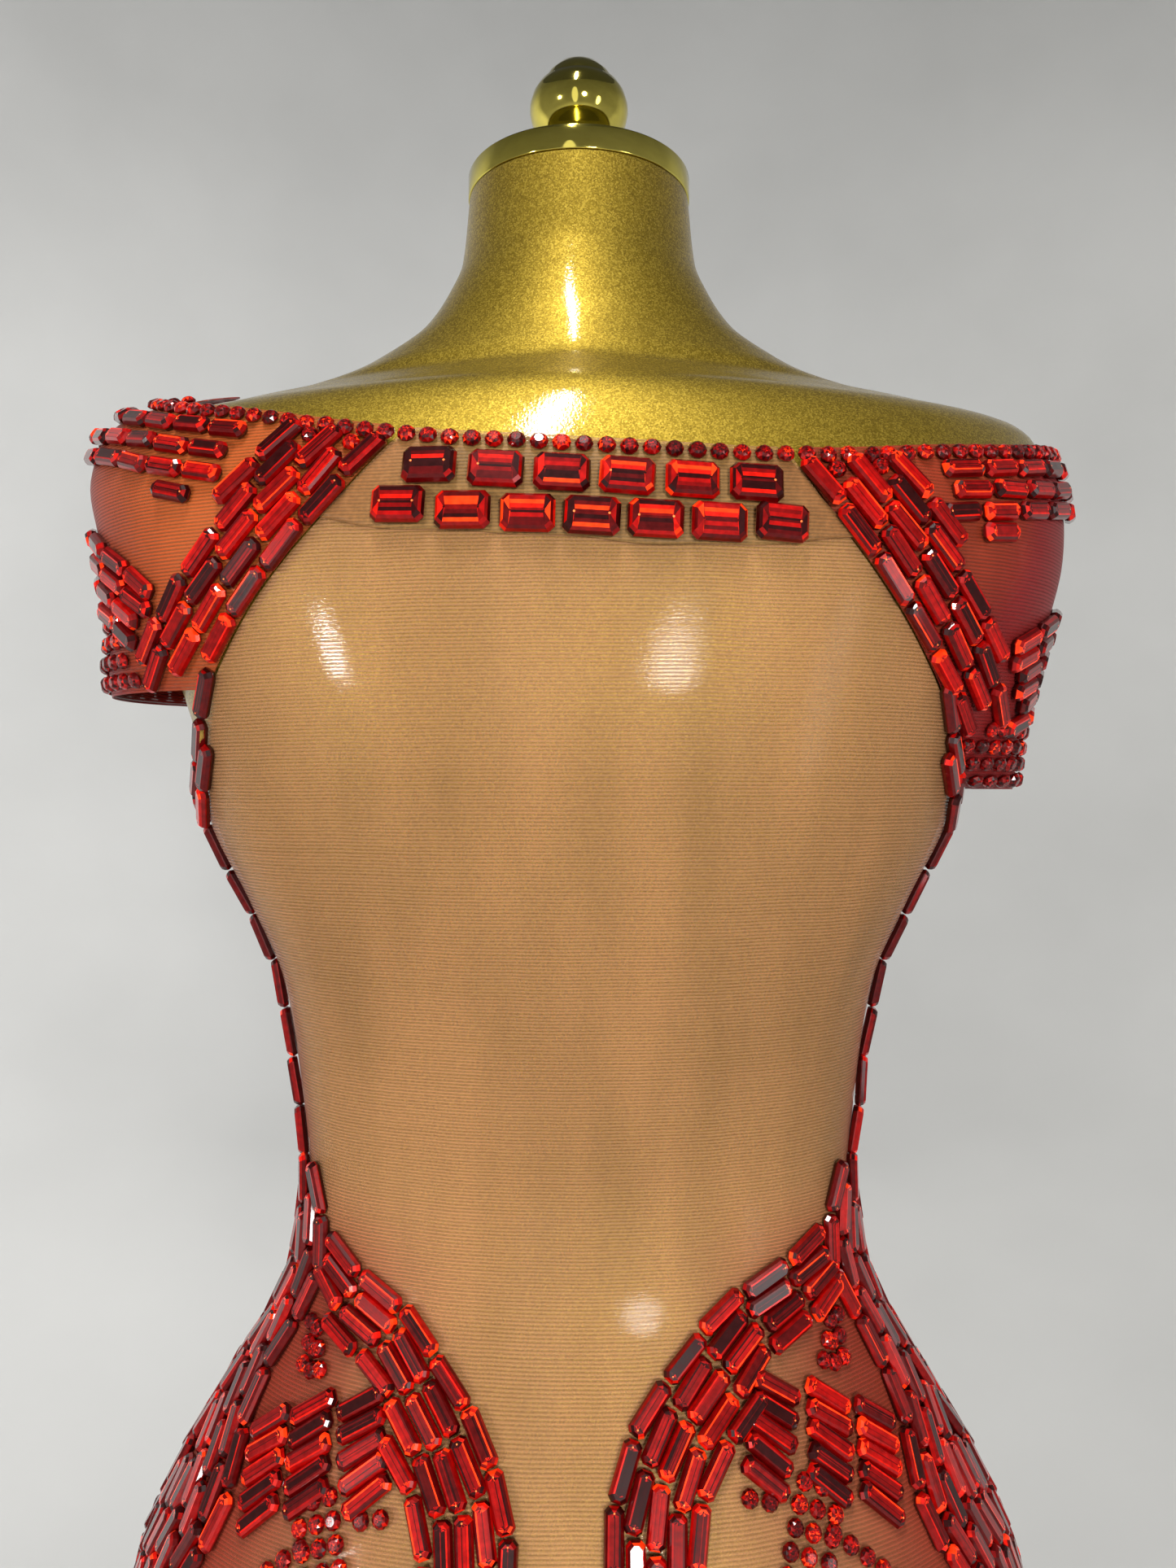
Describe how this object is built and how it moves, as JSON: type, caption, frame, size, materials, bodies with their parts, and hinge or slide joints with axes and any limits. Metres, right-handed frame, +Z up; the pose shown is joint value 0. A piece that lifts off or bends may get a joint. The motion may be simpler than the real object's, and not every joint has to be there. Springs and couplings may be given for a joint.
{
  "type": "mini dress on a dress form",
  "caption": "Fitted cap-sleeve mini dress of sheer stretch net with sewn-on red stones, worn by a gold limbless dress form on a round-based stand.",
  "frame": {"origin": "on the floor under the middle of the stand's base, which is the middle of the whole part's plan", "axes": "+Z up, +Y the way the dress's back faces, +X to the wearer's left"},
  "size_m": [0.41, 0.41, 1.4736],
  "materials": {
    "gold_paint": "glossy metallic gold paint with fine flake",
    "gold_plate": "polished gold plate",
    "nude_net": "fine sheer stretch net, nude",
    "doubled_net": "the same net, doubled",
    "red_net": "the same net, tinted red",
    "red_stone": "foil-backed cut glass, red"
  },
  "bodies": {
    "root": {"torso": "gold_paint", "neck_cap": "gold_plate", "finial": "gold_plate", "socket": "gold_plate", "pole": "gold_plate", "base": "gold_plate", "back": "nude_net", "front": "nude_net", "sleeve_left": "red_net", "sleeve_right": "red_net", "neck_band_back": "doubled_net", "neck_band_front": "doubled_net", "neck_stones_upper": "red_stone", "neck_stones_lower": "red_stone", "shoulder_stones_left": "red_stone", "cuff_stones_left": "red_stone", "raglan_stones_back_left": "red_stone", "side_stones_back_left": "red_stone", "hip_stones_back_left": "red_stone", "raglan_stones_front_left": "red_stone", "side_stones_front_left": "red_stone", "hip_stones_front_left": "red_stone", "shoulder_stones_right": "red_stone", "cuff_stones_right": "red_stone", "raglan_stones_back_right": "red_stone", "side_stones_back_right": "red_stone", "hip_stones_back_right": "red_stone", "raglan_stones_front_right": "red_stone", "side_stones_front_right": "red_stone", "hip_stones_front_right": "red_stone"}
  },
  "joints": []
}
